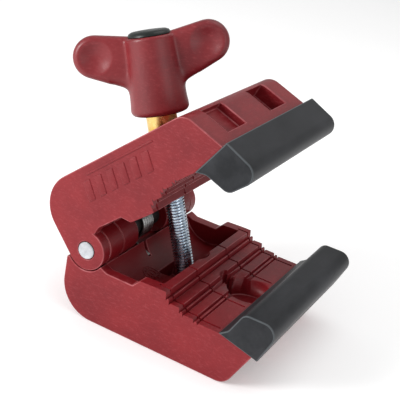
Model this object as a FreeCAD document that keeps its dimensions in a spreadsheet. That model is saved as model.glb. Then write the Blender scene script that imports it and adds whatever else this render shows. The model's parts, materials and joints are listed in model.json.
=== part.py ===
"""Hinged two-jaw screw clamp: red glass-filled nylon jaws, rubber pads, one wing-knob spindle.

Frame: +Z up, Y along the hinge pin, X towards the jaw tips. The clamp stands on the flat back of
its lower jaw, fully open. The origin lies on that flat back at mid-width.

Each jaw is drawn in a jaw frame: the hinge axis is the origin, x runs along the jaw parallel to its
flat back, and z points to the gripping side. The spindle pieces are drawn along z from the pivot of
the barrel nut.
"""
import FreeCAD, Part
import math
import os
import Sketcher

Vector = FreeCAD.Vector

DRIVING_SIZES = [
    # overall
    ("jaw_width", 92.5, "outside width of both jaws"),
    ("open_angle", 42.0, "angle between the two flat backs when fully open"),
    ("hinge_ahead", -20.0, "hinge axis along X from the origin"),
    ("back_drop", 36.5, "hinge axis to the flat back"),
    # jaw side outline
    ("heel_reach", 10.2, "hinge axis to the heel edge, and knuckle radius"),
    ("heel_round", 18.0, "radius between heel and flat back"),
    ("heel_top", 6.9, "hinge axis down to the top of the heel corner"),
    ("cheek_drop", 7.3, "hinge axis down to the cheek edge"),
    ("lug_drop", 3.4, "hinge axis down to the raised cheek edge before the teeth"),
    ("lug_start", 31.5, "start of the raised cheek edge"),
    ("lug_ramp", 3.6, "slope up to the raised cheek edge"),
    ("peak_ahead", 9.3, "cheek peak beside the knuckle, along the jaw"),
    ("peak_drop", 5.5, "hinge axis down to the cheek peak"),
    ("peak_ramp", 3.9, "slope down from the cheek peak"),
    ("teeth_start", 41.0, "start of the first tooth row"),
    ("row_length", 5.0, "length of one tooth row"),
    ("row_gap", 3.0, "space between two tooth rows, with the small rib in it"),
    ("first_row_rise", 0.4, "first tooth row above the raised cheek edge"),
    ("row_drop", 2.6, "mean step down from row to row"),
    ("notch_depth", 1.2, "depth of the cross grooves"),
    ("column_groove", 1.2, "width of the lengthwise grooves"),
    ("column_depth", 1.4, "depth of the lengthwise grooves"),
    ("column_inner", 16.0, "inner lengthwise grooves from mid-width"),
    ("column_edge", 4.2, "outer lengthwise grooves in from the jaw side"),
    ("seat_start", 75.7, "start of the sloping pad seat"),
    ("seat_top", 11.6, "hinge axis down to the start of the pad seat"),
    ("seat_end", 94.0, "end of the pad seat, at the jaw tip"),
    ("seat_fall", 4.8, "fall of the pad seat along its length"),
    ("bevel_angle", 63.0, "slope of the front bevel against the flat back"),
    ("tip_round", 8.0, "radius between bevel and flat back"),
    # jaw inside
    ("cheek_wall", 6.0, "thickness of the side cheeks"),
    ("knuckle_length", 11.7, "length of one lower jaw knuckle"),
    ("inner_knuckle_length", 13.7, "length of one inner knuckle of the upper jaw"),
    ("side_gap", 0.3, "gap between neighbouring knuckles and swivels"),
    ("seat_gap", 0.5, "radial gap round a knuckle"),
    ("web_inset", 1.6, "knuckle web in from the knuckle's front"),
    ("web_drop", 8.0, "knuckle web below the top of the heel"),
    ("trough_ahead", 25.0, "centre of the round trough along the jaw"),
    ("trough_drop", 1.0, "centre of the round trough below the hinge axis"),
    ("trough_radius", 16.5, "radius of the round trough"),
    ("slot_half", 8.5, "half width of the spindle slot"),
    ("slot_start", 22.0, "hinge side end of the spindle slot"),
    ("slot_end", 43.5, "tip side end of the spindle slot"),
    ("window_start", 33.0, "start of the two windows in the trough floor"),
    ("window_length", 6.5, "length of a window"),
    ("window_offset", 28.0, "middle of a window from mid-width"),
    ("window_width", 11.0, "width of a window"),
    ("back_skin", 3.5, "wall left between a window and the flat back"),
    ("keyhole_ahead", 69.5, "centre of the round pocket along the jaw"),
    ("keyhole_radius", 12.0, "radius of the round pocket"),
    ("lobe_ahead", 57.0, "centre of the small lobe along the jaw"),
    ("lobe_radius", 5.0, "radius of the small lobe"),
    ("keyhole_floor", 21.0, "hinge axis down to the pocket floor"),
    ("recess_start", 5.4, "front recesses from the pad seat, down the bevel"),
    ("recess_length", 15.5, "front recess length down the bevel"),
    ("recess_width", 18.5, "front recess width"),
    ("recess_offset", 22.75, "middle of a front recess from mid-width"),
    ("recess_depth", 8.0, "depth of the far front recess"),
    ("shallow_depth", 4.0, "depth of the near front recess"),
    # rubber pads
    ("pad_near", 0.4, "pad overhang past the near side of the jaw"),
    ("pad_far", 5.0, "pad overhang past the far side of the jaw"),
    ("pad_rise", 3.2, "pad crest above the hinge axis level"),
    ("pad_toe_end", 80.2, "end of the shallow toe of the pad"),
    ("pad_toe_rise", 3.2, "rise of the toe of the pad"),
    ("pad_crest_start", 86.0, "start of the pad crest"),
    ("pad_nose", 105.2, "front of the pad crest before rounding"),
    ("pad_lip", 2.9, "overlap of the pad lip past the jaw tip"),
    ("pad_lip_drop", 0.9, "fall of the pad lip past the jaw tip"),
    ("crest_round", 4.5, "radius at the toe and the start of the pad crest"),
    ("nose_round", 6.0, "radius of the pad nose"),
    ("key_start", 82.0, "start of the key rib under the pad"),
    ("key_length", 6.0, "length of the key rib"),
    ("key_height", 4.0, "height of the key rib"),
    ("key_width", 80.0, "width of the key rib"),
    # hinge
    ("pin_radius", 3.0, "hinge pin shank radius"),
    ("pin_fit", 0.05, "radial running clearance round the pin"),
    ("pin_head_radius", 4.4, "hinge pin head radius"),
    ("pin_head_height", 1.2, "hinge pin head thickness"),
    ("pin_head_proud", 0.3, "hinge pin head above the jaw side"),
    ("pin_dish_radius", 1.8, "dish in the hinge pin head"),
    ("pin_dish_depth", 0.6, "depth of the dish in the hinge pin head"),
    ("sleeve_radius", 5.6, "spring sleeve outer radius"),
    ("coil_radius", 7.1, "torsion spring mean coil radius"),
    ("wire_radius", 0.9, "torsion spring wire radius"),
    ("coil_pitch", 1.95, "torsion spring pitch"),
    ("coil_turns", 4.5, "torsion spring turns, to the nearest half"),
    ("leg_length", 17.0, "torsion spring leg length"),
    ("leg_fall", 22.0, "slope of a spring leg towards its jaw's back"),
    ("leg_fit", 0.15, "gap round a spring leg in its slot"),
    # swivels and spindle
    ("pivot_ahead", 36.75, "nut and saddle pivots along their jaws"),
    ("pivot_cover", 10.5, "nut and saddle pivots in from the flat backs"),
    ("swivel_radius", 8.7, "barrel nut and saddle radius"),
    ("swivel_length", 30.0, "barrel nut and saddle length"),
    ("swivel_gap", 0.3, "gap round the barrel nut and saddle"),
    ("ring_gap", 0.5, "gap between the stop ring and the recess it enters in the nut"),
    ("flare", 5.75, "widening of the swivel pocket towards the tip"),
    ("screw_radius", 5.0, "spindle thread outer radius"),
    ("thread_fit", 0.06, "radial clearance in the nut"),
    ("tip_reach", 9.0, "spindle tip past the nut pivot when fully open"),
    ("ring_radius", 6.2, "stop ring outer radius"),
    ("ring_height", 1.0, "stop ring thickness"),
    ("ring_lift", 1.0, "stop ring above the spindle tip"),
    ("ring_bore", 4.2, "stop ring bore, and groove floor radius"),
    ("saddle_flat", 5.5, "saddle pivot to its flat top"),
    ("saddle_fit", 0.7, "radial clearance of the spindle in the saddle"),
    ("thrust_gap", 1.3, "gap above the saddle that takes up the open pivot"),
    ("washer_radius", 8.2, "thrust washer outer radius"),
    ("washer_height", 1.6, "thrust washer thickness"),
    ("turn_gap", 0.2, "end gap between the washer and the turning collar"),
    ("collar_radius", 7.7, "brass collar radius"),
    ("core_across", 13.0, "brass hexagon inside the knob, across flats"),
    ("core_height", 22.0, "brass hexagon height inside the knob"),
    # knob
    ("knob_lift", 19.2, "saddle pivot to the underside of the knob"),
    ("hub_foot_radius", 14.5, "hub radius at the underside"),
    ("hub_top_radius", 12.3, "hub radius at the top"),
    ("hub_height", 38.2, "hub height"),
    ("hub_round", 2.2, "rounding of the hub's lower edge"),
    ("wing_reach", 28.0, "wing end centre from the spindle axis"),
    ("wing_lift", 31.6, "wing end centre above the underside"),
    ("wing_radius", 10.5, "wing end radius"),
    ("wing_thickness", 10.0, "wing thickness"),
    ("wing_root_low", 12.5, "wing root, lower edge above the underside"),
    ("wing_root_inset", 0.6, "wing root, lower edge in from the hub foot"),
    ("knob_turn", 28.0, "rest direction of the wings about the spindle"),
    ("cap_radius", 10.7, "black cap rim radius"),
    ("cap_height", 2.8, "black cap above the hub"),
    ("cap_depth", 3.5, "black cap plug inside the hub"),
    ("cap_fit", 0.1, "gap round the black cap plug"),
    ("cap_wall", 1.5, "wall of the black cap plug"),
    ("nut_across", 15.0, "lock nut across flats"),
    ("nut_height", 8.0, "lock nut height"),
    ("lock_washer_radius", 9.0, "washer under the lock nut, outer radius"),
    ("lock_washer_height", 1.6, "washer under the lock nut, thickness"),
    ("roll_pin_radius", 1.5, "roll pin through collar and spindle"),
    ("roll_pin_length", 13.0, "roll pin length"),
    ("roll_pin_lift", 4.3, "roll pin above the underside of the knob"),
    ("past", 1.0, "how far a cut runs past the face it opens"),
]
# Drop of each tooth row below the first, in mean steps.
ROW_STEPS = (0.0, 1.9, 2.9, 3.3)
# Ends of the notch, the rib and the next notch across the space between two rows, as shares of it.
RIB_SHARES = (0.18, 0.36, 0.66, 0.84)
RIB_LEVEL = 0.35
# Points of a wing's web on its round end, in end radii from its centre.
WING_TOP = (-0.08, 0.997)
WING_LOW = (0.4, -0.91)

doc = FreeCAD.newDocument("clamp")
sheet = doc.addObject("Spreadsheet::Sheet", "Sizes")
NUMBERS = {}
for row, (alias, number, note) in enumerate(DRIVING_SIZES, start=1):
    sheet.set("A%d" % row, str(number))
    sheet.setAlias("A%d" % row, alias)
    sheet.set("B%d" % row, note)
    NUMBERS[alias] = number
doc.recompute()


class Size:
    """A size that keeps its number together with the sheet expression that drives it."""

    def __init__(self, text, number):
        self.text = text
        self.number = number

    def _join(self, sign, other, number):
        return Size("(%s %s %s)" % (self.text, sign, as_size(other).text), number)

    def __add__(self, other):
        return self._join("+", other, self.number + as_size(other).number)

    def __sub__(self, other):
        return self._join("-", other, self.number - as_size(other).number)

    def __mul__(self, other):
        return self._join("*", other, self.number * as_size(other).number)

    def __truediv__(self, other):
        return self._join("/", other, self.number / as_size(other).number)

    def __rsub__(self, other):
        return as_size(other) - self

    def __neg__(self):
        return Size("(0 - %s)" % self.text, -self.number)

    __radd__ = __add__
    __rmul__ = __mul__


def as_size(value):
    """Plain numbers join a sum as sizes of their own."""
    return value if isinstance(value, Size) else Size(repr(float(value)), float(value))


def size(alias):
    """The size that a sheet cell drives."""
    return Size("Sizes." + alias, NUMBERS[alias])


def sine(angle):
    return Size("sin(%s)" % angle.text, math.sin(math.radians(angle.number)))


def cosine(angle):
    return Size("cos(%s)" % angle.text, math.cos(math.radians(angle.number)))


SUB_PARTS = []


def new_body(label):
    body = doc.addObject("PartDesign::Body", "Body_" + label)
    body.Label = label
    SUB_PARTS.append(body)
    return body


def new_sketch(body, role, offset):
    """A sketch on one of the body's own origin planes, moved along the plane's normal."""
    sketch = body.newObject("Sketcher::SketchObject", "Sketch")
    plane = [item for item in body.Origin.OriginFeatures if item.Role == role][0]
    sketch.AttachmentSupport = (plane, [""])
    sketch.MapMode = "FlatFace"
    sketch.setExpression(".AttachmentOffset.Base.z", as_size(offset).text)
    return sketch


def tie_point(sketch, geometry, place, point, name):
    """Ties one sketch point to the origin by two driven distances."""
    for kind, value in zip(("DistanceX", "DistanceY"), point):
        value = as_size(value)
        index = sketch.addConstraint(Sketcher.Constraint(kind, -1, 1, geometry, place, value.number))
        sketch.renameConstraint(index, name + kind)
        sketch.setExpression("Constraints." + name + kind, value.text)


def outline(body, role, offset, points):
    """A closed outline of straight sides; every corner is driven by the sheet."""
    sketch = new_sketch(body, role, offset)
    corners = [Vector(as_size(x).number, as_size(y).number, 0) for x, y in points]
    count = len(corners)
    for index in range(count):
        sketch.addGeometry(Part.LineSegment(corners[index], corners[(index + 1) % count]), False)
    for index in range(count):
        sketch.addConstraint(Sketcher.Constraint("Coincident", index, 2, (index + 1) % count, 1))
    for index, point in enumerate(points):
        tie_point(sketch, index, 1, point, "corner%d" % index)
    return sketch


def circles(body, role, offset, centre, radii):
    """One circle, or two concentric ones for a ring."""
    sketch = new_sketch(body, role, offset)
    middle = Vector(as_size(centre[0]).number, as_size(centre[1]).number, 0)
    for index, radius in enumerate(radii):
        radius = as_size(radius)
        sketch.addGeometry(Part.Circle(middle, Vector(0, 0, 1), radius.number), False)
        tie_point(sketch, index, 3, centre, "centre%d" % index)
        tied = sketch.addConstraint(Sketcher.Constraint("Radius", index, radius.number))
        sketch.renameConstraint(tied, "radius%d" % index)
        sketch.setExpression("Constraints.radius%d" % index, radius.text)
    return sketch


def extrude(body, kind, sketch, length, both_ways=True):
    """Pads or pockets a sketch, half to each side of it, or all to its front."""
    feature = body.newObject("PartDesign::" + kind, kind)
    feature.Profile = sketch
    feature.SideType = "Symmetric" if both_ways else "One side"
    feature.setExpression("Length", as_size(length).text)
    sketch.Visibility = False
    return feature


def slab(body, points, middle, width, kind="Pad"):
    """A prism along Y from a side outline."""
    return extrude(body, kind, outline(body, "XZ_Plane", -as_size(middle), points), width)


def barrel(body, centre, radius, middle, width, kind="Pad"):
    """A round prism along Y."""
    return extrude(body, kind, circles(body, "XZ_Plane", -as_size(middle), centre, [radius]), width)


def disc(body, radius, low, height, kind="Pad", centre=(0, 0)):
    """A round prism along Z, from low upwards."""
    middle = as_size(low) + as_size(height) / 2
    return extrude(body, kind, circles(body, "XY_Plane", middle, centre, [radius]), height)


def hexagon(body, across, low, height, kind="Pad"):
    """A six-sided prism along Z, from low upwards, with flats facing Y."""
    half = as_size(across) / 2
    corner = half / cosine(as_size(30))
    points = [(corner, 0), (corner / 2, half), (-corner / 2, half)]
    points += [(-x if index else -corner, -as_size(y)) for index, (x, y) in enumerate(points)]
    middle = as_size(low) + as_size(height) / 2
    return extrude(body, kind, outline(body, "XY_Plane", middle, points), height)


def round_edges(body, radius, spots):
    """Rounds the edges along Y that pass through the given side points."""
    doc.recompute()
    base = body.Tip
    names = []
    for index, edge in enumerate(base.Shape.Edges, start=1):
        ends = [vertex.Point for vertex in edge.Vertexes]
        for x, z in spots:
            near = [math.hypot(p.x - as_size(x).number, p.z - as_size(z).number) < 0.01 for p in ends]
            if len(ends) == 2 and all(near):
                names.append("Edge%d" % index)
    if len(names) < len(spots):
        raise RuntimeError("an edge to round was not found on " + body.Label)
    fillet = body.newObject("PartDesign::Fillet", "Fillet")
    fillet.Base = (base, names)
    fillet.setExpression("Radius", as_size(radius).text)
    return fillet


def place(item, x, z, tilt, roll=0, along=0, turn=0):
    """Puts an object at side point x, z, leaned about Y, then moved and turned along its own z."""
    first = "placement(vector(%s; 0; %s); rotation(0; %s; %s))" % (
        as_size(x).text, as_size(z).text, as_size(tilt).text, as_size(roll).text)
    second = "placement(vector(0; 0; %s); rotation(%s; 0; 0))" % (
        as_size(along).text, as_size(turn).text)
    item.setExpression("Placement", first + " * " + second)


# ---------------------------------------------------------------- shared places
side = size("jaw_width") / 2
inner_side = side - size("cheek_wall")
hinge_x = size("hinge_ahead")
hinge_z = size("back_drop")
back = -size("back_drop")
seat_low = -size("seat_top") - size("seat_fall")
bevel = size("bevel_angle")
tip_corner_x = size("seat_end") - (seat_low - back) * cosine(bevel) / sine(bevel)
knuckle_outer = inner_side - size("side_gap")
knuckle_mid = knuckle_outer - size("knuckle_length") / 2
inner_outer = knuckle_outer - size("knuckle_length") - size("side_gap")
inner_mid = inner_outer - size("inner_knuckle_length") / 2
bay_half = inner_outer - size("inner_knuckle_length")
pivot_x = size("pivot_ahead")
pivot_drop = size("back_drop") - size("pivot_cover")
pivot_z = -pivot_drop
pocket_radius = size("swivel_radius") + size("swivel_gap")
pocket_half = size("swivel_length") / 2 + size("swivel_gap")
lean = size("open_angle") / 2
# The spindle crosses both pivots, which mirror each other about the line halfway between the jaws.
spindle_length = 2 * (pivot_x * sine(lean) + pivot_drop * cosine(lean))
saddle_top = spindle_length + size("saddle_flat")
washer_low = saddle_top + size("thrust_gap")
collar_low = washer_low + size("washer_height") + size("turn_gap")
knob_low = spindle_length + size("knob_lift")
above = size("trough_radius") + size("heel_reach")
# The two spring legs leave the coil on opposite sides of mid-width.
coil_rounds = round(NUMBERS["coil_turns"]) + (180 + size("open_angle") + 2 * size("leg_fall")) / 360
coil_half = coil_rounds * size("coil_pitch") / 2


def seat_height(x):
    """Height of the sloping pad seat at x, in the jaw frame."""
    fall = size("seat_fall") / (size("seat_end") - size("seat_start"))
    return -size("seat_top") - (as_size(x) - size("seat_start")) * fall


def row_start(index):
    return size("teeth_start") + (size("row_length") + size("row_gap")) * index


def row_height(index):
    """The rows step down quickly at first, then slowly, into a shallow V."""
    return -size("lug_drop") + size("first_row_rise") - size("row_drop") * ROW_STEPS[index]


def teeth_points(drop):
    """The stepped gripping line from the first row to the pad seat, lowered by drop."""
    gap = size("row_gap")
    notch = size("notch_depth")
    notch_end, rib_start, rib_end, notch_start = RIB_SHARES
    points = []
    for index in range(3):
        start = row_start(index)
        end = start + size("row_length")
        top = row_height(index) - drop
        following = row_height(index + 1) - drop
        rib = following + (top - following) * RIB_LEVEL
        points += [(start, top), (end, top), (end + gap * notch_end, rib - notch)]
        points += [(end + gap * rib_start, rib), (end + gap * rib_end, rib)]
        points += [(end + gap * notch_start, following - notch)]
    points.append((row_start(3), row_height(3) - drop))
    points.append((size("seat_start") - size("past"), row_height(3) - drop))
    return points


def bevel_point(down, inward):
    """A point measured down the front bevel from the pad seat, and inward from its surface."""
    x = size("seat_end") - cosine(bevel) * down - sine(bevel) * inward
    z = seat_low - sine(bevel) * down + cosine(bevel) * inward
    return (x, z)


def key_points():
    """The rib under the pad, and the groove that holds it."""
    start = size("key_start")
    end = start + size("key_length")
    low = seat_height(end) - size("key_height")
    return [(start, seat_height(start)), (end, seat_height(end)), (end, low), (start, low)]


def jaw_shell(body):
    """Side outline through the full width, with the heel and the tip rounded."""
    reach = size("heel_reach")
    points = [(-reach, -size("heel_top")), (-reach, back), (tip_corner_x, back)]
    points += [(size("seat_end"), seat_low), (size("seat_start"), -size("seat_top"))]
    points += reversed(teeth_points(as_size(0)))
    points += [(size("lug_start"), -size("lug_drop"))]
    points += [(size("lug_start") - size("lug_ramp"), -size("cheek_drop"))]
    points += [(size("peak_ahead") + size("peak_ramp"), -size("cheek_drop"))]
    points += [(size("peak_ahead"), -size("peak_drop"))]
    slab(body, points, 0, size("jaw_width"))
    round_edges(body, size("heel_round"), [(-reach, back)])
    round_edges(body, size("tip_round"), [(tip_corner_x, back)])


def knuckle(body, middle, length):
    """A round knuckle on a short web, mirrored to both sides of mid-width."""
    reach = size("heel_reach")
    front = reach - size("web_inset")
    low = -size("heel_top") - size("web_drop")
    web = [(-reach, low), (-reach, 0), (front, 0), (front, low)]
    for sign in (-1, 1):
        slab(body, web, middle * sign, length)
        barrel(body, (0, 0), reach, middle * sign, length)


def jaw_grooves(body):
    """Lengthwise grooves that cut the tooth rows into blocks."""
    start = size("teeth_start") - size("past")
    points = [(start, above), (start, row_height(0) - size("column_depth"))]
    points += teeth_points(size("column_depth"))
    points += [(size("seat_start") - size("past"), above)]
    for place_y in (size("column_inner"), side - size("column_edge")):
        for sign in (-1, 1):
            slab(body, points, place_y * sign, size("column_groove"), "Pocket")


def jaw_slot(body):
    """Spindle slot, rounded at its tip side, over the swivel pocket that opens at the back."""
    half = size("slot_half")
    round_x = size("slot_end") - half
    low = pivot_z
    disc(body, half, low, above - low, "Pocket", (round_x, 0))
    sides = [(size("slot_start"), -half), (round_x, -half), (round_x, half), (size("slot_start"), half)]
    middle = low + (above - low) / 2
    extrude(body, "Pocket", outline(body, "XY_Plane", middle, sides), above - low)
    barrel(body, (pivot_x, pivot_z), pocket_radius, 0, pocket_half * 2, "Pocket")
    mouth = [(pivot_x - pocket_radius, pivot_z), (pivot_x + pocket_radius, pivot_z)]
    low = back - size("past")
    mouth += [(pivot_x + pocket_radius + size("flare"), low), (pivot_x - pocket_radius, low)]
    slab(body, mouth, 0, pocket_half * 2, "Pocket")


def leg_slot(body):
    """Slot for one spring leg, from the knuckle seat down into the trough."""
    fall = size("leg_fall")
    round_leg = size("wire_radius") + size("leg_fit")
    reach = size("coil_radius") + round_leg
    length = size("leg_length") + round_leg
    start = (-reach * sine(fall), -reach * cosine(fall))
    end = (start[0] + length * cosine(fall), start[1] - length * sine(fall))
    points = [start, end, (end[0], above), (start[0], above)]
    slab(body, points, -coil_half, round_leg * 2, "Pocket")


def jaw_pockets(body):
    """Windows, the keyhole pocket, the front recesses and the pad's key groove."""
    depth_low = back + size("back_skin")
    for sign in (-1, 1):
        across = size("window_width") / 2
        middle = size("window_offset") * sign
        start = size("window_start")
        end = start + size("window_length")
        corners = [(start, middle - across), (end, middle - across)]
        corners += [(end, middle + across), (start, middle + across)]
        level = depth_low + (above - depth_low) / 2
        window = outline(body, "XY_Plane", level, corners)
        extrude(body, "Pocket", window, above - depth_low)
        deep = size("recess_depth") if sign < 0 else size("shallow_depth")
        start = size("recess_start")
        end = start + size("recess_length")
        out = as_size(-size("recess_depth"))
        recess = [bevel_point(start, out), bevel_point(end, out)]
        recess += [bevel_point(end, deep), bevel_point(start, deep)]
        slab(body, recess, size("recess_offset") * sign, size("recess_width"), "Pocket")
    floor = -size("keyhole_floor")
    disc(body, size("keyhole_radius"), floor, above - floor, "Pocket", (size("keyhole_ahead"), 0))
    disc(body, size("lobe_radius"), floor, above - floor, "Pocket", (size("lobe_ahead"), 0))
    slab(body, key_points(), 0, size("key_width"), "Pocket")


def jaw(label, outer_knuckles, mirror):
    """One jaw; the upper one carries its knuckles on the cheeks and beside the spring."""
    body = new_body(label)
    jaw_shell(body)
    seat_radius = size("heel_reach") + size("seat_gap")
    trough_centre = (size("trough_ahead"), -size("trough_drop"))
    barrel(body, trough_centre, size("trough_radius"), 0, inner_side * 2, "Pocket")
    if outer_knuckles:
        barrel(body, (0, 0), seat_radius, 0, inner_side * 2, "Pocket")
        knuckle(body, side - size("cheek_wall") / 2, size("cheek_wall"))
        knuckle(body, inner_mid, size("inner_knuckle_length"))
    else:
        barrel(body, (0, 0), seat_radius, 0, size("jaw_width"), "Pocket")
        knuckle(body, knuckle_mid, size("knuckle_length"))
    barrel(body, (0, 0), size("pin_radius") + size("pin_fit"), 0, size("jaw_width"), "Pocket")
    if outer_knuckles:
        sink = size("pin_head_height") - size("pin_head_proud") + size("side_gap")
        for sign in (-1, 1):
            ring_radius = size("pin_head_radius") + size("side_gap")
            barrel(body, (0, 0), ring_radius, side * sign, sink * 2, "Pocket")
    jaw_grooves(body)
    leg_slot(body)
    jaw_slot(body)
    jaw_pockets(body)
    place(body, hinge_x, hinge_z, -size("open_angle") if mirror else 0, 180 if mirror else 0)
    return body


def pad(label, mirror):
    """Rubber pad over the sloping seat; a key rib under it sits in the jaw."""
    body = new_body(label)
    crest = size("pad_rise")
    lip = size("pad_lip")
    points = [(size("seat_start"), -size("seat_top")), (size("seat_end"), seat_low)]
    points += [(size("seat_end") + lip, seat_low - size("pad_lip_drop")), (size("pad_nose"), crest)]
    toe = (size("pad_toe_end"), size("pad_toe_rise") - size("seat_top"))
    points += [(size("pad_crest_start"), crest), toe]
    overhang_middle = (size("pad_far") - size("pad_near")) / 2
    shift = -overhang_middle if mirror else overhang_middle
    slab(body, points, shift, size("jaw_width") + size("pad_near") + size("pad_far"))
    round_edges(body, size("nose_round"), [(size("pad_nose"), crest)])
    round_edges(body, size("crest_round"), [(size("pad_crest_start"), crest), toe])
    slab(body, key_points(), 0, size("key_width"))
    place(body, hinge_x, hinge_z, -size("open_angle") if mirror else 0, 180 if mirror else 0)


def hinge_pieces():
    """Pin with a dished head, its pressed end cap, and the sleeve inside the spring."""
    head_out = side + size("pin_head_proud")
    head_mid = head_out - size("pin_head_height") / 2
    pin = new_body("hinge_pin")
    shank = side + size("pin_head_proud") - size("pin_head_height") / 2
    barrel(pin, (0, 0), size("pin_radius"), 0, shank * 2)
    barrel(pin, (0, 0), size("pin_head_radius"), -head_mid, size("pin_head_height"))
    barrel(pin, (0, 0), size("pin_dish_radius"), -head_out, size("pin_dish_depth") * 2, "Pocket")
    cap = new_body("pin_end_cap")
    barrel(cap, (0, 0), size("pin_head_radius"), head_mid, size("pin_head_height"))
    barrel(cap, (0, 0), size("pin_radius"), head_mid - size("pin_head_height") / 2,
           size("pin_head_height"), "Pocket")
    sleeve = new_body("spring_sleeve")
    length = (bay_half - size("side_gap")) * 2
    barrel(sleeve, (0, 0), size("sleeve_radius"), 0, length)
    barrel(sleeve, (0, 0), size("pin_radius") + size("pin_fit"), 0, length, "Pocket")
    for item in (pin, cap, sleeve):
        place(item, hinge_x, hinge_z, 0)


def torsion_spring():
    """Coil round the sleeve with one straight leg along each jaw's trough."""
    radius = NUMBERS["coil_radius"]
    wire = NUMBERS["wire_radius"]
    pitch = NUMBERS["coil_pitch"]
    leg = NUMBERS["leg_length"]
    leg_fall = NUMBERS["leg_fall"]
    start = -90.0 - leg_fall
    turns = coil_rounds.number
    first = -turns * pitch / 2
    steps = int(turns * 24)
    points = []
    for index in range(steps + 1):
        share = index / steps
        angle = math.radians(start + turns * 360.0 * share)
        points.append(Vector(radius * math.cos(angle), first + turns * pitch * share,
                             radius * math.sin(angle)))
    coil = Part.BSplineCurve()
    coil.interpolate(points)
    low_way = Vector(math.cos(math.radians(-leg_fall)), 0, math.sin(math.radians(-leg_fall)))
    high_angle = math.radians(NUMBERS["open_angle"] + leg_fall)
    high_way = Vector(math.cos(high_angle), 0, math.sin(high_angle))
    solids = []
    path = Part.Wire([coil.toShape()])
    tangent = coil.tangent(coil.FirstParameter)[0]
    profile = Part.Wire([Part.Circle(points[0], tangent, wire).toShape()])
    solids.append(path.makePipeShell([profile], True, True))
    for point, way in ((points[0], low_way), (points[-1], high_way)):
        solids.append(Part.makeCylinder(wire, leg, point, way))
        solids.append(Part.makeSphere(wire, point))
    shape = solids[0].multiFuse(solids[1:])
    item = doc.addObject("Part::Feature", "Spring")
    item.Label = "torsion_spring"
    item.Shape = shape
    place(item, hinge_x, hinge_z, 0)
    SUB_PARTS.append(item)


def swivels():
    """Barrel nut in the lower jaw and half-round saddle in the upper jaw."""
    nut = new_body("barrel_nut")
    barrel(nut, (0, 0), size("swivel_radius"), 0, size("swivel_length"))
    hole = size("swivel_radius") * 3
    disc(nut, size("screw_radius") + size("thread_fit"), -hole / 2, hole, "Pocket")
    spotface_top = size("ring_lift") + size("ring_height") + size("ring_gap") - size("tip_reach")
    disc(nut, size("ring_radius") + size("swivel_gap"), -hole / 2, spotface_top + hole / 2, "Pocket")
    saddle = new_body("saddle")
    barrel(saddle, (0, 0), size("swivel_radius"), 0, size("swivel_length"))
    disc(saddle, size("screw_radius") + size("saddle_fit"), -hole / 2, hole, "Pocket")
    reach = size("swivel_radius") + size("past")
    flat = [(-reach, size("saddle_flat")), (reach, size("saddle_flat")), (reach, reach), (-reach, reach)]
    slab(saddle, flat, 0, size("swivel_length") + size("past"), "Pocket")
    on_spindle(nut, 0)
    on_spindle(saddle, spindle_length)


def on_spindle(item, along, turn=0):
    """Puts a piece on the spindle, measured from the barrel nut's pivot."""
    place(item, hinge_x + pivot_x, hinge_z + pivot_z, -lean, 0, along, turn)


def spindle_pieces():
    """Threaded spindle, stop ring, thrust washer, brass collar and its roll pin."""
    turn = size("knob_turn")
    nut_seat = knob_low + size("core_height")
    screw_top = nut_seat + size("lock_washer_height") + size("nut_height") + size("past")
    screw = new_body("screw")
    length = screw_top + size("tip_reach")
    disc(screw, size("screw_radius"), 0, length)
    groove = circles(screw, "XY_Plane", size("ring_lift") + size("ring_height") / 2, (0, 0),
                     [size("screw_radius") + size("past"), size("ring_bore")])
    extrude(screw, "Pocket", groove, size("ring_height"))
    pin_level = knob_low + size("roll_pin_lift")
    cross_hole = circles(screw, "XZ_Plane", 0, (0, pin_level + size("tip_reach")), [size("roll_pin_radius")])
    extrude(screw, "Pocket", cross_hole, size("collar_radius") * 4)
    on_spindle(screw, -size("tip_reach"), turn)

    ring = new_body("stop_ring")
    radii = [size("ring_radius"), size("ring_bore")]
    flat_ring = circles(ring, "XY_Plane", size("ring_height") / 2, (0, 0), radii)
    extrude(ring, "Pad", flat_ring, size("ring_height"))
    on_spindle(ring, size("ring_lift") - size("tip_reach"), turn)

    washer = new_body("thrust_washer")
    radii = [size("washer_radius"), size("screw_radius") + size("side_gap")]
    flat_ring = circles(washer, "XY_Plane", size("washer_height") / 2, (0, 0), radii)
    extrude(washer, "Pad", flat_ring, size("washer_height"))
    on_spindle(washer, washer_low)

    insert = new_body("knob_insert")
    collar_height = knob_low - collar_low
    disc(insert, size("collar_radius"), 0, collar_height)
    hexagon(insert, size("core_across"), collar_height, size("core_height"))
    total = collar_height + size("core_height")
    disc(insert, size("screw_radius"), -size("past"), total + 2 * size("past"), "Pocket")
    cross_hole = circles(insert, "XZ_Plane", 0, (0, pin_level - collar_low), [size("roll_pin_radius")])
    extrude(insert, "Pocket", cross_hole, size("collar_radius") * 4)
    on_spindle(insert, collar_low, turn)

    pin = new_body("roll_pin")
    barrel(pin, (0, 0), size("roll_pin_radius"), 0, size("roll_pin_length"))
    on_spindle(pin, pin_level, turn)

    nut_washer = new_body("knob_washer")
    radii = [size("lock_washer_radius"), size("screw_radius") + size("side_gap")]
    height = size("lock_washer_height")
    extrude(nut_washer, "Pad", circles(nut_washer, "XY_Plane", height / 2, (0, 0), radii), height)
    on_spindle(nut_washer, nut_seat, turn)

    nut = new_body("knob_lock_nut")
    hexagon(nut, size("nut_across"), 0, size("nut_height"))
    disc(nut, size("screw_radius"), -size("past"), size("nut_height") + 2 * size("past"), "Pocket")
    on_spindle(nut, nut_seat + size("lock_washer_height"), turn)


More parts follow.
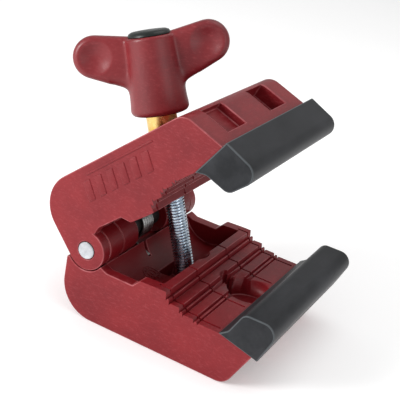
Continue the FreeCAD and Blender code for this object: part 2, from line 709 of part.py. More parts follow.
def wing_points(sign):
    """Web of one wing: from the hub out to the tangents of its round end."""
    inside = size("lock_washer_radius")
    points = [(inside, size("hub_height")), (size("cap_radius") + size("side_gap"), size("hub_height"))]
    for across, up in (WING_TOP, WING_LOW):
        points.append((size("wing_reach") + size("wing_radius") * across,
                       size("wing_lift") + size("wing_radius") * up))
    points.append((size("hub_foot_radius") - size("wing_root_inset"), size("wing_root_low")))
    points.append((inside, size("wing_root_low")))
    return [(x * sign, z) for x, z in points]


def wing_knob():
    """Hub that widens to its foot, two wings with round ends, a nut well and a hexagon core."""
    knob = new_body("wing_knob")
    foot = size("hub_foot_radius")
    rounding = size("hub_round")
    profile = [(0, 0), (foot - rounding, 0), (foot - rounding * 0.3, rounding * 0.3), (foot, rounding)]
    profile += [(size("hub_top_radius"), size("hub_height")), (0, size("hub_height"))]
    sketch = outline(knob, "XZ_Plane", 0, profile)
    hub = knob.newObject("PartDesign::Revolution", "Hub")
    hub.Profile = sketch
    hub.ReferenceAxis = (sketch, ["V_Axis"])
    hub.Angle = 360
    for sign in (-1, 1):
        slab(knob, wing_points(sign), 0, size("wing_thickness"))
        centre = (size("wing_reach") * sign, size("wing_lift"))
        barrel(knob, centre, size("wing_radius"), 0, size("wing_thickness"))
    past = size("past")
    hexagon(knob, size("core_across"), -past, size("core_height") + 2 * past, "Pocket")
    well = size("core_height")
    disc(knob, size("lock_washer_radius"), well, size("hub_height") - well + past, "Pocket")
    on_spindle(knob, knob_low, size("knob_turn"))

    cap = new_body("knob_cap")
    plug = size("lock_washer_radius") - size("cap_fit")
    disc(cap, plug, -size("cap_depth"), size("cap_depth"))
    disc(cap, size("cap_radius"), 0, size("cap_height"))
    disc(cap, plug - size("cap_wall"), -size("cap_depth"), size("cap_depth"), "Pocket")
    on_spindle(cap, knob_low + size("hub_height"), size("knob_turn"))


def check_and_write():
    """Stops on any failed object or bad solid, then writes one file per sub-part."""
    doc.recompute()
    for item in doc.Objects:
        if "Invalid" in item.State or "Error" in item.State:
            raise RuntimeError("failed object: %s %s" % (item.Name, item.State))
    for item in SUB_PARTS:
        shape = item.Shape
        if shape.isNull() or not shape.isValid() or not shape.Solids:
            raise RuntimeError("bad shape: " + item.Label)
        if item.Label != "torsion_spring" and len(shape.Solids) != 1:
            raise RuntimeError("%s is in %d pieces" % (item.Label, len(shape.Solids)))
    os.makedirs("parts", exist_ok=True)
    for item in SUB_PARTS:
        item.Shape.exportStep(os.path.join("parts", item.Label + ".step"))
        box = item.Shape.BoundBox
        print("%-16s %9.1f mm3  x %.1f..%.1f  y %.1f..%.1f  z %.1f..%.1f" % (
            item.Label, item.Shape.Volume, box.XMin, box.XMax, box.YMin, box.YMax, box.ZMin, box.ZMax))


jaw("lower_jaw", outer_knuckles=False, mirror=False)
jaw("upper_jaw", outer_knuckles=True, mirror=True)
pad("lower_pad", mirror=False)
pad("upper_pad", mirror=True)
hinge_pieces()
torsion_spring()
swivels()
spindle_pieces()
wing_knob()
check_and_write()
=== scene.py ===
"""Looks of a hand clamp: two hinged red nylon jaws, rubber tip pads, a wing knob on a spindle.

Metres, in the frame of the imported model: +Z up, Y along the hinge pin, X towards the jaw tips.
Lengths below are in millimetres and are scaled once, where a piece is finished.
"""
import json
import math

import bmesh
import bpy
from mathutils import Matrix, Vector


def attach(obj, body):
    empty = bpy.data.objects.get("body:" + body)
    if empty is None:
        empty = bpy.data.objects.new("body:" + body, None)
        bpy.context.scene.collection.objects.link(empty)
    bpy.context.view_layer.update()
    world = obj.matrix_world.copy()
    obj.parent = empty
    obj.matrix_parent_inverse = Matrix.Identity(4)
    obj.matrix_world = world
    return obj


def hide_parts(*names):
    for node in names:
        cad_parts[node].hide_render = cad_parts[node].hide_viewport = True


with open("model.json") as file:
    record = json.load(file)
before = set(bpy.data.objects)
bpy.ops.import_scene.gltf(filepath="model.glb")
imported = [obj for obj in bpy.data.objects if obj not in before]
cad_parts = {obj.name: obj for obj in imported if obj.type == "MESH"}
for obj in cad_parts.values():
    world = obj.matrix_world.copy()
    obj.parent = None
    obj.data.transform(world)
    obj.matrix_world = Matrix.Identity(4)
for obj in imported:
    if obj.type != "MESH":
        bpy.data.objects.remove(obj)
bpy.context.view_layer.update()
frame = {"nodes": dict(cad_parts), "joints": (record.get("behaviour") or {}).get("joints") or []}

MM = 0.001
JOINTS = {joint["name"]: joint for joint in frame["joints"]}
HINGE = Vector(JOINTS["jaw_hinge"]["pos_m"]) / MM
NUT_PIVOT = Vector(JOINTS["nut_tilt"]["pos_m"]) / MM
SADDLE_PIVOT = Vector(JOINTS["saddle_tilt"]["pos_m"]) / MM

# spindle and knob, with heights up the spindle from the nut's pivot
LEAN = math.radians(21.0)
KNOB_TURN = math.radians(28.0)
SADDLE_UP = (SADDLE_PIVOT - NUT_PIVOT).length
SADDLE_TOP = 5.5
THRUST_GAP = 1.3
WASHER_THICK = 1.6
COLLAR_GAP = 0.2
KNOB_LOW = SADDLE_UP + 19.2
HUB_HEIGHT = 38.2
HEXAGON_HEIGHT = 22.0
LOCK_NUT_HEIGHT = 8.0

# jaws, in each jaw's own frame with the hinge axis as origin
OPEN = math.radians(42.0)
CHEEK_FACE = 46.25
CHEEK_INSIDE = 41.0
TROUGH = Vector((25.0, 0.0, -1.0))
TROUGH_RADIUS = 16.5
KNUCKLE_SEAT = 11.6
TEETH_FROM, TEETH_TO, TEETH_LOW = 38.0, 75.9, -17.5
LIPS_FROM, LIPS_TO, LIPS_LOW = 40.5, 75.0, -15.0


# ---------------------------------------------------------------- places
def on_spindle(along, turn=0.0):
    """From a piece drawn along z to its place on the spindle, measured from the nut's pivot."""
    return (Matrix.Translation(NUT_PIVOT) @ Matrix.Rotation(-LEAN, 4, "Y")
            @ Matrix.Translation((0, 0, along)) @ Matrix.Rotation(turn, 4, "Z"))


def in_lower_jaw():
    """From the lower jaw's own frame, with the hinge axis as origin."""
    return Matrix.Translation(HINGE)


def in_upper_jaw():
    """From the upper jaw's own frame: x along the jaw, z to its gripping side."""
    return (Matrix.Translation(HINGE) @ Matrix.Rotation(-OPEN, 4, "Y")
            @ Matrix.Rotation(math.pi, 4, "X"))


# ---------------------------------------------------------------- materials
def add(material, kind, inputs=None, **settings):
    """One shader node; inputs take numbers, colours or the sockets of earlier nodes."""
    made = material.node_tree.nodes.new("ShaderNode" + kind)
    for key, value in settings.items():
        setattr(made, key, value)
    for key, value in (inputs or {}).items():
        if isinstance(value, bpy.types.NodeSocket):
            material.node_tree.links.new(value, made.inputs[key])
        else:
            made.inputs[key].default_value = value
    return made


def start(name):
    """A new material, its shader and its object coordinates."""
    material = bpy.data.materials.new(name)
    material.use_nodes = True
    shader = material.node_tree.nodes["Principled BSDF"]
    where = add(material, "TexCoord").outputs["Object"]
    return material, shader, where


def stretched(material, where, scale, turn=(0, 0, 0)):
    made = add(material, "Mapping", {"Vector": where, "Scale": scale, "Rotation": turn})
    return made.outputs["Vector"]


def noise(material, where, scale, detail=3.0, rough=0.5):
    made = add(material, "TexNoise", {"Vector": where, "Scale": scale, "Detail": detail,
                                      "Roughness": rough})
    return made.outputs["Fac"]


def spread(material, fac, low, high, to_low=0.0, to_high=1.0):
    made = add(material, "MapRange", {"Value": fac, "From Min": low, "From Max": high,
                                      "To Min": to_low, "To Max": to_high})
    return made.outputs["Result"]


def mixed(material, fac, first, second, how="MIX"):
    made = add(material, "Mix", data_type="RGBA", blend_type=how)
    for socket, value in ((made.inputs[0], fac), (made.inputs[6], first), (made.inputs[7], second)):
        if isinstance(value, bpy.types.NodeSocket):
            material.node_tree.links.new(value, socket)
        else:
            socket.default_value = value
    return made.outputs[2]


def times(material, first, second):
    made = add(material, "Math", {0: first, 1: second}, operation="MULTIPLY")
    return made.outputs["Value"]


def marked(material, mark):
    """The mark that mark_faces leaves on a mesh, 0 where a mesh has none."""
    return add(material, "Attribute", attribute_name=mark).outputs["Fac"]


def bumped(material, height, strength, distance, under=None):
    inputs = {"Height": height, "Strength": strength, "Distance": distance}
    if under is not None:
        inputs["Normal"] = under
    return add(material, "Bump", inputs).outputs["Normal"]


def join(material, shader, **sockets):
    for name, socket in sockets.items():
        material.node_tree.links.new(socket, shader.inputs[name.replace("_", " ")])


# Painted shade: the deep red that faces inside hollows are mixed towards, standing in for the
# darker light there.
HOLLOW_SHADE_RED = (0.170, 0.003, 0.006, 1)


def satin_nylon(name, deep, plain, light, scuffed_highlit_colour, grain_turn, gloss=0.30):
    """Glass-filled nylon: mottled red, flow grain, fine speckle, pale scuffed edges that also serve
    as painted highlights, and painted shade in the hollows.
    """
    material, shader, where = start(name)
    flow = stretched(material, where, (1.0, 0.55, 3.2), (0, grain_turn, 0))
    clouds = noise(material, where, 34.0, 4.0, 0.55)
    grain = noise(material, flow, 420.0, 5.0, 0.65)
    speck = noise(material, where, 1500.0, 2.0, 0.6)
    colour = mixed(material, spread(material, clouds, 0.36, 0.66), deep, plain)
    colour = mixed(material, spread(material, grain, 0.52, 0.78, 0.0, 0.42), colour, light)
    colour = mixed(material, spread(material, speck, 0.62, 0.75, 0.0, 0.25), colour, light)
    # Painted shade: faces marked as lying in a hollow are mixed towards a deeper red.
    colour = mixed(material, times(material, marked(material, "hollow_shade"), 0.75), colour, HOLLOW_SHADE_RED)
    # Pale edges: partly real edge scuffing, partly a painted highlight along the rounded rims.
    patch = spread(material, noise(material, where, 160.0, 4.0, 0.6), 0.36, 0.62, 0.25, 1.0)
    scuffed_highlit_mask = times(material, marked(material, "scuffed_and_highlit"), patch)
    colour = mixed(material, times(material, scuffed_highlit_mask, 0.55), colour, scuffed_highlit_colour)
    rough = spread(material, grain, 0.3, 0.75, 0.33, 0.50)
    normal = bumped(material, grain, 0.45, 0.00016)
    normal = bumped(material, speck, 0.30, 0.00006, normal)
    join(material, shader, Base_Color=colour, Roughness=rough, Normal=normal)
    shader.inputs["Specular IOR Level"].default_value = gloss
    return material


def soft_rubber(name):
    """Moulded rubber: charcoal, matte, with faint handling smudges and a fine skin."""
    material, shader, where = start(name)
    smudge = noise(material, stretched(material, where, (1.0, 0.4, 1.0)), 60.0, 5.0, 0.6)
    skin = noise(material, where, 1300.0, 3.0, 0.6)
    charcoal, dusty = (0.012, 0.013, 0.015, 1), (0.032, 0.033, 0.037, 1)
    scuffed_highlit_colour = (0.16, 0.18, 0.19, 1)
    colour = mixed(material, spread(material, smudge, 0.4, 0.7), charcoal, dusty)
    # Pale pad edges: partly real scuffing, partly a painted highlight along the rounded rims.
    colour = mixed(material, times(material, marked(material, "scuffed_and_highlit"), 0.35), colour, scuffed_highlit_colour)
    rough = spread(material, smudge, 0.3, 0.75, 0.34, 0.50)
    normal = bumped(material, skin, 0.30, 0.00005)
    join(material, shader, Base_Color=colour, Roughness=rough, Normal=normal)
    shader.inputs["Specular IOR Level"].default_value = 0.17
    return material


def metal(name, dark, bright, rough_low, rough_high, scale=260.0, along=(1, 1, 1), bump=0.00002):
    """Bare or plated metal: drifting tone, uneven polish, fine working marks."""
    material, shader, where = start(name)
    tone = noise(material, where, scale, 4.0, 0.6)
    marks = noise(material, stretched(material, where, along), scale * 5, 3.0, 0.6)
    colour = mixed(material, spread(material, tone, 0.35, 0.68), dark, bright)
    rough = spread(material, tone, 0.3, 0.7, rough_low, rough_high)
    normal = bumped(material, marks, 0.25, bump)
    join(material, shader, Base_Color=colour, Roughness=rough, Normal=normal)
    shader.inputs["Metallic"].default_value = 1.0
    return material


def turned_metal(name, dark, bright, rough_low, rough_high, rings, axis):
    """Metal turned on a lathe: fine rings about the given axis."""
    material, shader, where = start(name)
    tone = noise(material, where, 300.0, 3.0, 0.5)
    ring = add(material, "TexWave", {"Vector": where, "Scale": rings, "Distortion": 0.6,
                                     "Detail": 2.0, "Detail Scale": 2.0},
               wave_type="RINGS", rings_direction=axis).outputs["Fac"]
    colour = mixed(material, spread(material, tone, 0.3, 0.7), dark, bright)
    rough = spread(material, ring, 0.0, 1.0, rough_low, rough_high)
    normal = bumped(material, ring, 0.3, 0.00003)
    join(material, shader, Base_Color=colour, Roughness=rough, Normal=normal)
    shader.inputs["Metallic"].default_value = 1.0
    return material


def plain_plastic(name, dark, light, rough_low, rough_high, skin_depth):
    """Black or dark moulded plastic with a fine spark-eroded skin."""
    material, shader, where = start(name)
    tone = noise(material, where, 90.0, 4.0, 0.55)
    skin = noise(material, where, 1100.0, 3.0, 0.6)
    colour = mixed(material, spread(material, tone, 0.35, 0.7), dark, light)
    rough = spread(material, tone, 0.3, 0.7, rough_low, rough_high)
    normal = bumped(material, skin, 0.25, skin_depth)
    join(material, shader, Base_Color=colour, Roughness=rough, Normal=normal)
    shader.inputs["Specular IOR Level"].default_value = 0.3
    return material


JAW_RED = satin_nylon("jaw_red_nylon", (0.155, 0.006, 0.010, 1), (0.215, 0.011, 0.015, 1),
                      (0.36, 0.060, 0.070, 1), (0.50, 0.15, 0.16, 1), 0.35)
KNOB_RED = satin_nylon("knob_red_nylon", (0.130, 0.006, 0.010, 1), (0.190, 0.011, 0.015, 1),
                       (0.33, 0.050, 0.055, 1), (0.34, 0.08, 0.085, 1), 1.2, gloss=0.45)
RUBBER = soft_rubber("pad_rubber")
PIN_ALLOY = turned_metal("pin_alloy", (0.42, 0.44, 0.46, 1), (0.60, 0.62, 0.65, 1),
                         0.20, 0.36, 1500.0, "Y")
BRASS = metal("collar_brass", (0.62, 0.38, 0.10, 1), (0.83, 0.60, 0.24, 1), 0.16, 0.30, 200.0)
THREAD_ZINC = metal("thread_zinc", (0.38, 0.45, 0.53, 1), (0.76, 0.83, 0.90, 1), 0.13, 0.28, 240.0)
PLAIN_ZINC = metal("plain_zinc", (0.46, 0.48, 0.50, 1), (0.66, 0.68, 0.70, 1), 0.28, 0.46, 180.0)
SPRING_STEEL = metal("spring_steel", (0.28, 0.28, 0.28, 1), (0.46, 0.46, 0.45, 1),
                     0.26, 0.42, 300.0)
CAP_BLACK = plain_plastic("cap_black", (0.004, 0.006, 0.005, 1), (0.012, 0.016, 0.014, 1),
                          0.30, 0.46, 0.00005)
SLEEVE_DARK = plain_plastic("sleeve_dark", (0.012, 0.010, 0.010, 1), (0.030, 0.024, 0.024, 1),
                            0.35, 0.5, 0.00004)


# ---------------------------------------------------------------- finishing pieces
def mark_faces(shape, faces, mark, value=1.0):
    """Marks faces as scuffed edges that also carry a painted highlight, or as hollows that get
    painted shade, for the materials to read.
    """
    layer = shape.loops.layers.float_color.get(mark) or shape.loops.layers.float_color.new(mark)
    for face in faces:
        for loop in face.loops:
            loop[layer] = (value, value, value, 1.0)


def finish_piece(name, shape, material, body, stands_for=(), place=None, crease=40):
    """Turns a bmesh into an object at the origin, with its place in its mesh, riding on a body."""
    if place is not None:
        shape.transform(place)
    shape.transform(Matrix.Scale(MM, 4))
    mesh = bpy.data.meshes.new(name)
    for face in shape.faces:
        face.smooth = True
    shape.to_mesh(mesh)
    shape.free()
    mesh.set_sharp_from_angle(angle=math.radians(crease))
    piece = bpy.data.objects.new(name, mesh)
    bpy.context.scene.collection.objects.link(piece)
    mesh.materials.append(material)
    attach(piece, body)
    if stands_for:
        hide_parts(*stands_for)
    return piece


def weighted(piece):
    """Flat faces stay flat beside their rounded edges."""
    made = piece.modifiers.new("flat_faces", "WEIGHTED_NORMAL")
    made.keep_sharp = True
    made.weight = 80


def merged_node(node):
    """A merged copy of a frame node in millimetres, its flat faces whole again."""
    shape = bmesh.new()
    shape.from_mesh(frame["nodes"][node].data)
    shape.transform(Matrix.Scale(1 / MM, 4))
    bmesh.ops.remove_doubles(shape, verts=shape.verts, dist=0.0005)
    bmesh.ops.dissolve_limit(shape, angle_limit=math.radians(0.4), use_dissolve_boundaries=False,
                             verts=shape.verts, edges=shape.edges, delimit=set())
    bmesh.ops.dissolve_degenerate(shape, dist=0.35, edges=shape.edges)
    mark_faces(shape, shape.faces, "scuffed_and_highlit", 0.0)
    return shape


def rounded(shape, edges, radius, segments, clamp=True):
    return bmesh.ops.bevel(shape, geom=edges, offset=radius, offset_type="OFFSET",
                           segments=segments, affect="EDGES", profile=0.5, material=-1,
                           clamp_overlap=clamp)


def smoothed(shape, verts, rounds):
    for _ in range(rounds):
        bmesh.ops.smooth_vert(shape, verts=verts, factor=0.5, use_axis_x=True, use_axis_y=True,
                              use_axis_z=True)


def edges_of(verts):
    return {edge for vert in verts for edge in vert.link_edges}


def round_sharp(shape, radius, chosen=lambda edge: True, sharp=30, segments=2):
    """Rounds the sharp edges that are chosen, and marks them as scuffed edges that also carry a
    painted highlight.
    """
    least = math.radians(sharp)
    edges = [edge for edge in shape.edges
             if edge.is_manifold and edge.calc_face_angle(0.0) > least and chosen(edge)]
    made = rounded(shape, edges, radius, segments, clamp=False)
    # The rounded edge faces are marked for pale scuffing that is partly a painted highlight.
    mark_faces(shape, made["faces"], "scuffed_and_highlit")


def lathe(points, steps=64):
    """A shape turned about z from (radius, height) points, foot first."""
    shape = bmesh.new()
    spots = [shape.verts.new((radius, 0, height)) for radius, height in points]
    edges = [shape.edges.new(pair) for pair in zip(spots, spots[1:])]
    bmesh.ops.spin(shape, geom=spots + edges, cent=(0, 0, 0), axis=(0, 0, 1), dvec=(0, 0, 0),
                   angle=math.tau, steps=steps, use_merge=True, use_duplicate=False)
    bmesh.ops.remove_doubles(shape, verts=shape.verts, dist=0.001)
    bmesh.ops.recalc_face_normals(shape, faces=shape.faces)
    return shape


def closed_ring(points, steps):
    """A turned ring whose first and last points are joined by a wall."""
    shape = lathe(points, steps)
    bmesh.ops.bridge_loops(shape, edges=[edge for edge in shape.edges if not edge.is_manifold])
    return shape


def take_in(shape, other):
    """Adds another bmesh to a shape, and frees it."""
    part = bpy.data.meshes.new("part")
    other.to_mesh(part)
    other.free()
    shape.from_mesh(part)
    bpy.data.meshes.remove(part)


def melted(shape, voxel):
    """The shape remeshed into one skin, as a new bmesh."""
    rough = bpy.data.meshes.new("rough")
    shape.to_mesh(rough)
    shape.free()
    holder = bpy.data.objects.new("holder", rough)
    bpy.context.scene.collection.objects.link(holder)
    remesh = holder.modifiers.new("melt", "REMESH")
    remesh.mode, remesh.voxel_size, remesh.adaptivity = "VOXEL", voxel, 0.0
    ready = holder.evaluated_get(bpy.context.evaluated_depsgraph_get())
    skin = bpy.data.meshes.new_from_object(ready)
    bpy.data.objects.remove(holder)
    shape = bmesh.new()
    shape.from_mesh(skin)
    bpy.data.meshes.remove(skin)
    return shape


# ---------------------------------------------------------------- jaws
def in_the_trough(spot):
    """True between the cheeks, inside the round trough or round the knuckles."""
    from_trough = math.hypot(spot.x - TROUGH.x, spot.z - TROUGH.z)
    from_hinge = math.hypot(spot.x, spot.z)
    inside = from_trough < TROUGH_RADIUS + 0.8 or from_hinge < KNUCKLE_SEAT
    return inside and abs(spot.y) < CHEEK_INSIDE


def jaw_piece(name, node, body, place):
    """A jaw with soft outer edges and crisp teeth."""
    shape = merged_node(node)
    home = place.inverted()

    def by_the_teeth(edge):
        spots = [home @ vert.co for vert in edge.verts]
        return any(TEETH_FROM < spot.x < TEETH_TO and spot.z > TEETH_LOW for spot in spots)

    def tooth_lip(edge):
        """Long straight lips of the tooth rows, along the hinge pin."""
        first, last = (vert.co for vert in edge.verts)
        way = last - first
        spots = [home @ first, home @ last]
        return (way.length > 4.0 and abs(way.y) > 0.99 * way.length
                and all(LIPS_FROM < spot.x < LIPS_TO and spot.z > LIPS_LOW for spot in spots))

    round_sharp(shape, 0.5, lambda edge: not by_the_teeth(edge), segments=3)
    round_sharp(shape, 0.22, tooth_lip, segments=2)
    # Faces in the trough and round the knuckles are marked for painted shade.
    shaded_hollow_faces = [face for face in shape.faces if in_the_trough(home @ face.calc_center_median())]
    mark_faces(shape, shape.faces, "hollow_shade", 0.0)
    mark_faces(shape, shaded_hollow_faces, "hollow_shade")
    piece = finish_piece(name, shape, JAW_RED, body, [node], crease=32)
    weighted(piece)
    return piece


jaw_piece("lower_jaw_moulding", "lower_jaw", "lower", in_lower_jaw())
jaw_piece("upper_jaw_moulding", "upper_jaw", "upper", in_upper_jaw())


# ---------------------------------------------------------------- pads
def pad_piece(name, node, body):
    """A rubber pad with its moulded edges rounded."""
    shape = merged_node(node)
    round_sharp(shape, 0.6, sharp=24, segments=3)
    piece = finish_piece(name, shape, RUBBER, body, [node], crease=32)
    weighted(piece)
    return piece


pad_piece("lower_pad_moulding", "lower_pad", "lower")
pad_piece("upper_pad_moulding", "upper_pad", "upper")


# ---------------------------------------------------------------- wing knob
WING_HALF = 4.8
WING_HEIGHT = 31.6
DISH_OUT, DISH_RADIUS, DISH_DEPTH = 27.3, 8.6, 2.3


def wing(sign):
    """One flat wing: a round lobe drawn in to the hub, with well rounded rims."""
    shape = bmesh.new()
    for across in (-WING_HALF, WING_HALF):
        bmesh.ops.create_circle(shape, cap_ends=False, segments=40, radius=10.5,
                                matrix=Matrix.Translation((28.0 * sign, across, WING_HEIGHT))
                                @ Matrix.Rotation(math.pi / 2, 4, "X"))
        for x, z in ((4.0, 38.0), (4.0, 10.0), (12.6, 13.2)):
            shape.verts.new((x * sign, across, z))
    bmesh.ops.convex_hull(shape, input=shape.verts)
    bmesh.ops.dissolve_limit(shape, angle_limit=0.01, use_dissolve_boundaries=False,
                             verts=shape.verts, edges=shape.edges, delimit=set())
    rims = [edge for edge in shape.edges if edge.is_manifold and edge.calc_face_angle(0) > 1.2]
    rounded(shape, rims, 3.4, 5)
    bmesh.ops.recalc_face_normals(shape, faces=shape.faces)
    return shape


def knob_shape():
    """Hub and wings melted together, with finger dishes pressed into both wing faces."""
    shape = lathe([(0, 0), (12.0, 0), (13.6, 0.6), (14.5, 2.2), (14.2, 8), (12.9, 30),
                   (12.7, HUB_HEIGHT - 0.8), (12.2, HUB_HEIGHT - 0.1), (11.8, HUB_HEIGHT),
                   (0, HUB_HEIGHT)], 96)
    for sign in (-1, 1):
        take_in(shape, wing(sign))
    shape = melted(shape, 0.55)

    flutes = [vert for vert in shape.verts if 9.6 < abs(vert.co.x) < 16
              and 4.0 < abs(vert.co.y) < 8.6 and vert.co.z > 10.0]
    armpits = [vert for vert in shape.verts if 11.5 < abs(vert.co.x) < 22
               and abs(vert.co.y) < 8.0 and 5.0 < vert.co.z < 22.0]
    smoothed(shape, flutes, 14)
    smoothed(shape, armpits, 60)
    smoothed(shape, shape.verts, 3)
    for vert in shape.verts:
        away = math.hypot(abs(vert.co.x) - DISH_OUT, vert.co.z - WING_HEIGHT) / DISH_RADIUS
        if away < 1.0 and abs(vert.co.y) > 2.0:
            vert.co.y -= math.copysign(DISH_DEPTH * (1 - away * away) ** 1.4, vert.co.y)
    return shape


finish_piece("wing_knob_moulding", knob_shape(), KNOB_RED, "knob", ["wing_knob"],
             on_spindle(KNOB_LOW, KNOB_TURN), crease=80)
cap = lathe([(0, -3.5), (8.6, -3.5), (8.9, -3.2), (8.9, 0.02), (10.4, 0.02), (10.7, 0.3),
             (10.6, 0.8), (9.9, 1.9), (8.6, 2.5), (5.0, 2.75), (0, 2.8)])
finish_piece("knob_cap_moulding", cap, CAP_BLACK, "knob", ["knob_cap"],
             on_spindle(KNOB_LOW + HUB_HEIGHT, KNOB_TURN), crease=50)


# ---------------------------------------------------------------- spindle
def thread():
    """A real helix: one pitch of thread outline, carried round and up the spindle."""
    pitch, crest, root = 1.5, 5.0, 4.08
    low = -9.0
    high = KNOB_LOW + HEXAGON_HEIGHT + WASHER_THICK + LOCK_NUT_HEIGHT + 1.0
    sides = 28
    turns = math.ceil((high - low) / pitch) + 2
    shape = bmesh.new()
    outline = ((root, 0.0), (root, 0.14), (crest, 0.66), (crest, 0.98), (root, 1.5))
    spots = [shape.verts.new((radius, 0, low - pitch + up)) for radius, up in outline]
    edges = [shape.edges.new(pair) for pair in zip(spots, spots[1:])]
    bmesh.ops.spin(shape, geom=spots + edges, cent=(0, 0, 0), axis=(0, 0, 1),
                   dvec=(0, 0, pitch / sides), angle=math.tau * turns, steps=sides * turns,
                   use_merge=False, use_duplicate=False)
    bmesh.ops.remove_doubles(shape, verts=shape.verts, dist=0.01)
    for level, way in ((low, -1), (high, 1)):
        everything = list(shape.verts) + list(shape.edges) + list(shape.faces)
        cut = bmesh.ops.bisect_plane(shape, geom=everything, dist=0.0001, plane_co=(0, 0, level),
                                     plane_no=(0, 0, way), clear_outer=True, clear_inner=False)
        rim = [item for item in cut["geom_cut"] if isinstance(item, bmesh.types.BMEdge)]
        bmesh.ops.contextual_create(shape, geom=rim)
    bmesh.ops.recalc_face_normals(shape, faces=shape.faces)
    return shape


finish_piece("spindle_thread", thread(), THREAD_ZINC, "knob", ["screw"],
             on_spindle(0, KNOB_TURN), crease=50)


def collar(height):
    """Brass collar with broken edges, under the hexagon that drives the knob."""
    top = height - 0.02
    shape = closed_ring([(5.05, 0.4), (5.4, 0), (7.3, 0), (7.7, 0.4), (7.7, top), (5.05, top)], 72)
    bmesh.ops.create_cone(shape, cap_ends=True, segments=6, radius1=7.5, radius2=7.5,
                          depth=HEXAGON_HEIGHT,
                          matrix=Matrix.Translation((0, 0, height + HEXAGON_HEIGHT / 2)))
    bmesh.ops.recalc_face_normals(shape, faces=shape.faces)
    return shape


collar_low = SADDLE_UP + SADDLE_TOP + THRUST_GAP + WASHER_THICK + COLLAR_GAP
finish_piece("brass_collar", collar(KNOB_LOW - collar_low), BRASS, "knob", ["knob_insert"],
             on_spindle(collar_low, KNOB_TURN))


# ---------------------------------------------------------------- hinge
def hinge_pin():
    """Shank with a dished, turned head on the near side, and a ring on its far end."""
    end, head, shank = 46.0, 46.55, 3.0
    pin = lathe([(0, -end), (shank, -end), (shank, head - 1.2), (4.1, head - 1.2),
                 (4.35, head - 0.95), (4.4, head - 0.3), (4.1, head), (3.5, head - 0.05),
                 (2.4, head - 0.32), (0, head - 0.42)], 56)
    near = Matrix.Translation(HINGE) @ Matrix.Rotation(math.pi / 2, 4, "X")
    finish_piece("hinge_pin_turned", pin, PIN_ALLOY, "lower", ["hinge_pin"], near, crease=35)
    ring = closed_ring([(3.05, 45.35), (4.1, 45.35), (4.35, 45.6), (4.4, 46.2), (4.1, 46.5),
                        (3.05, 46.5)], 48)
    bmesh.ops.recalc_face_normals(ring, faces=ring.faces)
    far = Matrix.Translation(HINGE) @ Matrix.Rotation(-math.pi / 2, 4, "X")
    finish_piece("pin_end_ring", ring, PIN_ALLOY, "lower", ["pin_end_cap"], far, crease=35)


hinge_pin()


def spring_pieces():
    """Coil with its lower leg on the lower jaw; the upper leg leans on the upper jaw."""
    coil_radius, wire, pitch, leg, fall = 7.1, 0.9, 1.95, 17.0, math.radians(22.0)
    turns = 4 + (math.pi + OPEN + 2 * fall) / math.tau
    half, sides = turns * pitch / 2, 40

    def leg_at(shape, spin_angle, y, way):
        foot = Vector((coil_radius * math.cos(spin_angle), y, coil_radius * math.sin(spin_angle)))
        along = Vector((math.cos(way), 0, math.sin(way)))
        turned = along.to_track_quat("Z", "Y").to_matrix().to_4x4()
        made = bmesh.ops.create_cone(shape, cap_ends=True, segments=16, radius1=wire, radius2=wire,
                                     depth=leg,
                                     matrix=Matrix.Translation(foot + along * leg / 2) @ turned)
        rims = [edge for edge in edges_of(made["verts"]) if edge.calc_face_angle(0.0) > 1.0]
        rounded(shape, rims, 0.35, 2)

    coil = bmesh.new()
    first = -math.pi / 2 - fall
    made = bmesh.ops.create_circle(coil, cap_ends=False, segments=12, radius=wire,
                                   matrix=Matrix.Rotation(-first, 4, "Y")
                                   @ Matrix.Translation((coil_radius, -half, 0)))
    rings = list(edges_of(made["verts"]))
    bmesh.ops.spin(coil, geom=made["verts"] + rings, cent=(0, 0, 0), axis=(0, -1, 0),
                   dvec=(0, pitch / sides, 0), angle=turns * math.tau, steps=round(turns * sides),
                   use_merge=False, use_duplicate=False)
    bmesh.ops.holes_fill(coil, edges=[edge for edge in coil.edges if edge.is_boundary], sides=0)
    bmesh.ops.recalc_face_normals(coil, faces=coil.faces)
    leg_at(coil, first, -half, -fall)
    finish_piece("torsion_spring_coil", coil, SPRING_STEEL, "lower", ["torsion_spring"],
                 in_lower_jaw(), crease=50)
    upper_leg = bmesh.new()
    leg_at(upper_leg, math.pi / 2 + OPEN + fall, half, OPEN + fall)
    finish_piece("torsion_spring_upper_leg", upper_leg, SPRING_STEEL, "upper",
                 place=in_lower_jaw(), crease=50)


spring_pieces()


# ---------------------------------------------------------------- moulded marks
def plain_bars():
    """Raised slanted bars over a long bar on the near cheek of the upper jaw."""
    shape = bmesh.new()
    short_bars = [(18.5 + 7.4 * index, 4.2, -25.0, 9.6, -0.2) for index in range(6)]
    long_bar = (42.0, 42.0, -32.4, 0.9, 0.0)
    for x, width, z, height, slant in short_bars + [long_bar]:
        size = Matrix.Diagonal((width, 0.7, height, 1.0))
        lean = Matrix.Identity(4)
        lean[0][2] = slant
        place = Matrix.Translation((x, CHEEK_FACE - 0.05, z)) @ lean @ size
        made = bmesh.ops.create_cube(shape, size=1.0, matrix=place)
        rounded(shape, list(edges_of(made["verts"])), 0.2, 2)
    mark_faces(shape, shape.faces, "scuffed_and_highlit", 0.0)
    finish_piece("cheek_bars", shape, JAW_RED, "upper", place=in_upper_jaw(), crease=60)


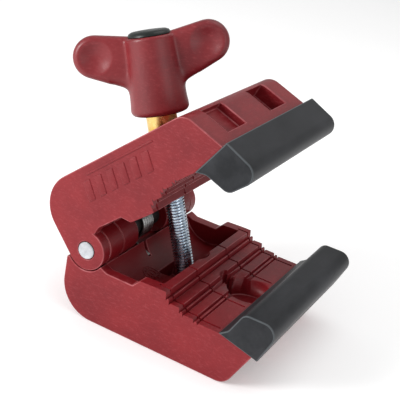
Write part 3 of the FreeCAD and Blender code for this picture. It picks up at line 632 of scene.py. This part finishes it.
def mould_dial():
    """A plain date dial without figures, lying on the curved floor of the lower trough."""
    shape = bmesh.new()
    under, proud, broken = -0.4, 0.2, 0.08
    for inner, outer in ((4.3, 4.8), (2.3, 2.6)):
        take_in(shape, lathe([(inner, under), (inner, 0.14), (inner + broken, proud),
                              (outer - broken, proud), (outer, 0.14), (outer, under)], 48))
    for index in range(12):
        tick = Matrix.Translation((3.4, 0, -0.1)) @ Matrix.Diagonal((0.9, 0.28, 0.5, 1))
        bmesh.ops.create_cube(shape, size=1.0,
                              matrix=Matrix.Rotation(math.tau * index / 12, 4, "Z") @ tick)
    bmesh.ops.create_cone(shape, cap_ends=True, segments=3, radius1=1.3, radius2=1.0, depth=0.5,
                          matrix=Matrix.Translation((0, 0, -0.08))
                          @ Matrix.Diagonal((1.3, 0.6, 1, 1)))
    aside, across = -4.0, -13.7
    for vert in shape.verts:
        vert.co.x += aside
        vert.co.z += TROUGH_RADIUS - math.sqrt(TROUGH_RADIUS ** 2 - vert.co.x ** 2)
    mark_faces(shape, shape.faces, "scuffed_and_highlit", 0.0)
    # The dial lies in the trough, so it gets half the painted shade.
    mark_faces(shape, shape.faces, "hollow_shade", 0.5)
    bottom = Vector((TROUGH.x, across, TROUGH.z - TROUGH_RADIUS))
    finish_piece("mould_dial", shape, JAW_RED, "lower",
                 place=in_lower_jaw() @ Matrix.Translation(bottom), crease=40)


plain_bars()
mould_dial()

# ---------------------------------------------------------------- nodes shown as they are
SHOWN = {"spring_sleeve": SLEEVE_DARK, "barrel_nut": PLAIN_ZINC, "saddle": PLAIN_ZINC,
         "stop_ring": SPRING_STEEL, "thrust_washer": PLAIN_ZINC, "roll_pin": SPRING_STEEL,
         "knob_washer": PLAIN_ZINC, "knob_lock_nut": PLAIN_ZINC}
for node, finish in SHOWN.items():
    for material_slot in frame["nodes"][node].material_slots:
        material_slot.material = finish


# ---------------------------------------------------------------- studio
def studio():
    """Pale floor, one broad soft key from the front left, a top light and a fill."""
    shape = bmesh.new()
    bmesh.ops.create_grid(shape, x_segments=1, y_segments=1, size=3.0,
                          matrix=Matrix.Translation((0, 0, -0.0002)))
    mesh = bpy.data.meshes.new("floor")
    shape.to_mesh(mesh)
    shape.free()
    floor = bpy.data.objects.new("floor", mesh)
    bpy.context.scene.collection.objects.link(floor)
    material, shader, where = start("floor_paper")
    tone = noise(material, where, 3.0, 2.0)
    colour = mixed(material, tone, (0.86, 0.86, 0.86, 1), (0.90, 0.90, 0.90, 1))
    join(material, shader, Base_Color=colour, Roughness=spread(material, tone, 0, 1, 0.7, 0.8))
    shader.inputs["Specular IOR Level"].default_value = 0.1
    shader.inputs["Emission Color"].default_value = (1, 1, 1, 1)
    shader.inputs["Emission Strength"].default_value = 0.22
    mesh.materials.append(material)

    aim = Vector((0, 0, 0.06))
    for name, at, across, power in (("key", (-0.55, -0.70, 0.42), 0.35, 8.0),
                                    ("top", (0.15, 0.25, 0.95), 0.7, 2.6),
                                    ("fill", (0.85, -0.25, 0.35), 0.5, 1.3)):
        lamp = bpy.data.lights.new(name, "AREA")
        lamp.energy, lamp.size = power, across
        holder = bpy.data.objects.new(name, lamp)
        holder.location = at
        holder.rotation_euler = (aim - Vector(at)).to_track_quat("-Z", "Y").to_euler()
        bpy.context.scene.collection.objects.link(holder)

    world = bpy.data.worlds.new("studio")
    world.use_nodes = True
    sky = world.node_tree.nodes["Background"]
    sky.inputs["Color"].default_value = (1, 1, 1, 1)
    sky.inputs["Strength"].default_value = 0.62
    bpy.context.scene.world = world

    lens = bpy.data.cameras.new("camera")
    lens.lens, lens.sensor_width = 85.5, 36.0
    camera = bpy.data.objects.new("camera", lens)
    right, up = Vector((0.86355, 0.47037, 0.18176)), Vector((-0.34352, 0.28486, 0.89490))
    pose = Matrix((right, up, right.cross(up))).transposed().to_4x4()
    camera.matrix_world = Matrix.Translation((0.18788, -0.39552, 0.25470)) @ pose
    bpy.context.scene.collection.objects.link(camera)
    bpy.context.scene.camera = camera
    bpy.context.scene.view_settings.view_transform = "Standard"


studio()
